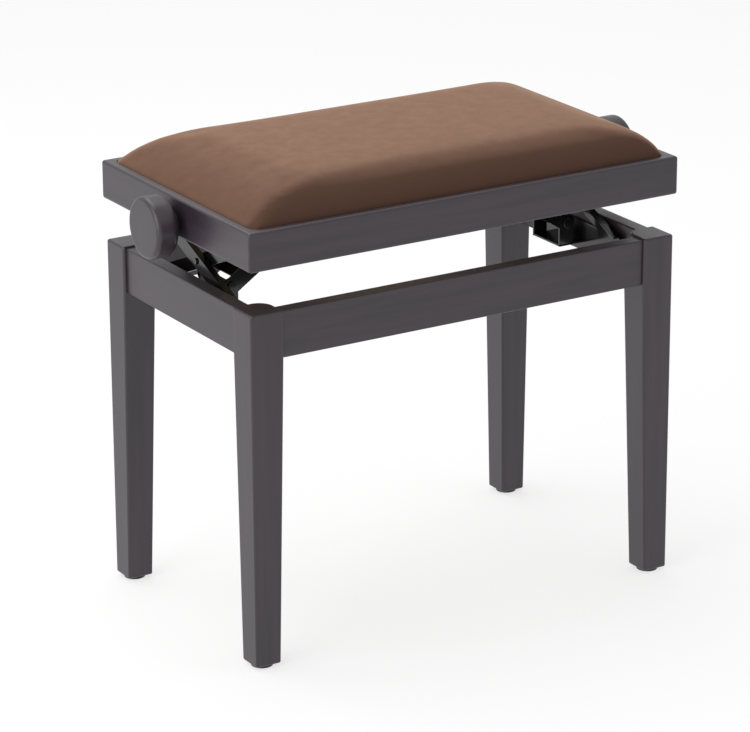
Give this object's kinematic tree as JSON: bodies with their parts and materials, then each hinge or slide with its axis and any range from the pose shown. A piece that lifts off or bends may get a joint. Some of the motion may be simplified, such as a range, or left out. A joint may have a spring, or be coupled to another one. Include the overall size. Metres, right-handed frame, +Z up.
{
  "type": "piano bench",
  "caption": "Rectangular wooden piano bench with tapered square legs, a crowned velvet cushion and a knob-driven spindle lift.",
  "frame": {"origin": "on the floor, midway between the four legs", "axes": "+X along the long side of the seat, -Y to the front, +Z up"},
  "size_m": [0.624, 0.333, 0.5339],
  "materials": {
    "dark_wood": "satin lacquer on dark rosewood stain",
    "black_steel": "gloss black enamel",
    "zinc_steel": "zinc plated",
    "black_nylon": "matte",
    "bronze_bush": "plain bearing bronze",
    "plywood": "raw",
    "block_wood": "raw",
    "foam": "open cell",
    "brown_velvet": "short pile velvet"
  },
  "bodies": {
    "leg_frame": {"apron_back": "dark_wood", "apron_front": "dark_wood", "apron_left": "dark_wood", "apron_right": "dark_wood", "arm_pivot_pin_left": "black_steel", "arm_pivot_pin_right": "black_steel", "glide_back_left": "black_nylon", "glide_back_right": "black_nylon", "glide_front_left": "black_nylon", "glide_front_right": "black_nylon", "leg_back_left": "dark_wood", "leg_back_right": "dark_wood", "leg_front_left": "dark_wood", "leg_front_right": "dark_wood", "lower_bracket_left": "black_steel", "lower_bracket_right": "black_steel", "lower_screw_left_back": "zinc_steel", "lower_screw_left_front": "zinc_steel", "lower_screw_right_back": "zinc_steel", "lower_screw_right_front": "zinc_steel", "strut_pin_left": "black_steel", "strut_pin_right": "black_steel"},
    "seat": {"board_screw_back_left": "zinc_steel", "board_screw_back_right": "zinc_steel", "board_screw_front_left": "zinc_steel", "board_screw_front_right": "zinc_steel", "corner_block_back_left": "block_wood", "corner_block_back_right": "block_wood", "corner_block_front_left": "block_wood", "corner_block_front_right": "block_wood", "foam_pad": "foam", "seat_board": "plywood", "seat_rail_back": "dark_wood", "seat_rail_front": "dark_wood", "seat_rail_left": "dark_wood", "seat_rail_right": "dark_wood", "spindle_bush_left": "bronze_bush", "spindle_bush_right": "bronze_bush", "upper_bracket_left": "black_steel", "upper_bracket_right": "black_steel", "upper_screw_left_back": "zinc_steel", "upper_screw_left_front": "zinc_steel", "upper_screw_right_back": "zinc_steel", "upper_screw_right_front": "zinc_steel", "velvet_cover": "brown_velvet"},
    "spindle": {"knob_left": "dark_wood", "knob_right": "dark_wood", "spindle": "black_steel", "spindle_collar_left": "black_steel", "spindle_collar_right": "black_steel"},
    "nut_left": {"nut_left": "black_steel"},
    "strut_left": {"strut_left": "black_steel"},
    "arm_outer_left": {"arm_outer_left": "black_steel", "scissor_bolt_left": "black_steel"},
    "arm_inner_left": {"arm_inner_left": "black_steel"},
    "nut_right": {"nut_right": "black_steel"},
    "strut_right": {"strut_right": "black_steel"},
    "arm_outer_right": {"arm_outer_right": "black_steel", "scissor_bolt_right": "black_steel"},
    "arm_inner_right": {"arm_inner_right": "black_steel"}
  },
  "joints": [
    {"name": "seat_lift", "type": "slide", "parent": "leg_frame", "child": "seat", "axis": [0, 0, 1], "range_m": [-0.0465, 0.04]},
    {"name": "spindle_turn", "type": "hinge", "parent": "seat", "child": "spindle", "pos_m": [0, 0, 0.467], "axis": [1, 0, 0], "range_deg": [-2230.58, 1919.94]},
    {"name": "nut_travel_left", "type": "slide", "parent": "seat", "child": "nut_left", "axis": [-1, 0, 0], "range_m": [-0.03098, 0.02667]},
    {"name": "strut_pivot_left", "type": "hinge", "parent": "leg_frame", "child": "strut_left", "pos_m": [-0.2205, 0, 0.394], "axis": [0, -1, 0], "range_deg": [-23.2, 19.97]},
    {"name": "arm_pivot_left", "type": "hinge", "parent": "leg_frame", "child": "arm_outer_left", "pos_m": [-0.2456, -0.102, 0.3775], "axis": [1, 0, 0], "range_deg": [-13.12, 11.29]},
    {"name": "scissor_pivot_left", "type": "hinge", "parent": "arm_outer_left", "child": "arm_inner_left", "pos_m": [-0.2372, 0, 0.4195], "axis": [1, 0, 0], "range_deg": [-22.58, 26.23]},
    {"name": "nut_travel_right", "type": "slide", "parent": "seat", "child": "nut_right", "axis": [1, 0, 0], "range_m": [-0.03098, 0.02667]},
    {"name": "strut_pivot_right", "type": "hinge", "parent": "leg_frame", "child": "strut_right", "pos_m": [0.2205, 0, 0.394], "axis": [0, 1, 0], "range_deg": [-23.2, 19.97]},
    {"name": "arm_pivot_right", "type": "hinge", "parent": "leg_frame", "child": "arm_outer_right", "pos_m": [0.2456, -0.102, 0.3775], "axis": [1, 0, 0], "range_deg": [-13.12, 11.29]},
    {"name": "scissor_pivot_right", "type": "hinge", "parent": "arm_outer_right", "child": "arm_inner_right", "pos_m": [0.2372, 0, 0.4195], "axis": [1, 0, 0], "range_deg": [-22.58, 26.23]}
  ],
  "couplings": [
    {"joint": "spindle_turn", "follows": "seat_lift", "rad_per_m": 834.12},
    {"joint": "nut_travel_left", "follows": "seat_lift", "ratio": 0.66377},
    {"joint": "strut_pivot_left", "follows": "seat_lift", "rad_per_m": 8.6743},
    {"joint": "arm_pivot_left", "follows": "seat_lift", "rad_per_m": 4.9044},
    {"joint": "scissor_pivot_left", "follows": "seat_lift", "rad_per_m": -9.8087},
    {"joint": "nut_travel_right", "follows": "seat_lift", "ratio": 0.66377},
    {"joint": "strut_pivot_right", "follows": "seat_lift", "rad_per_m": 8.6743},
    {"joint": "arm_pivot_right", "follows": "seat_lift", "rad_per_m": 4.9044},
    {"joint": "scissor_pivot_right", "follows": "seat_lift", "rad_per_m": -9.8087}
  ]
}
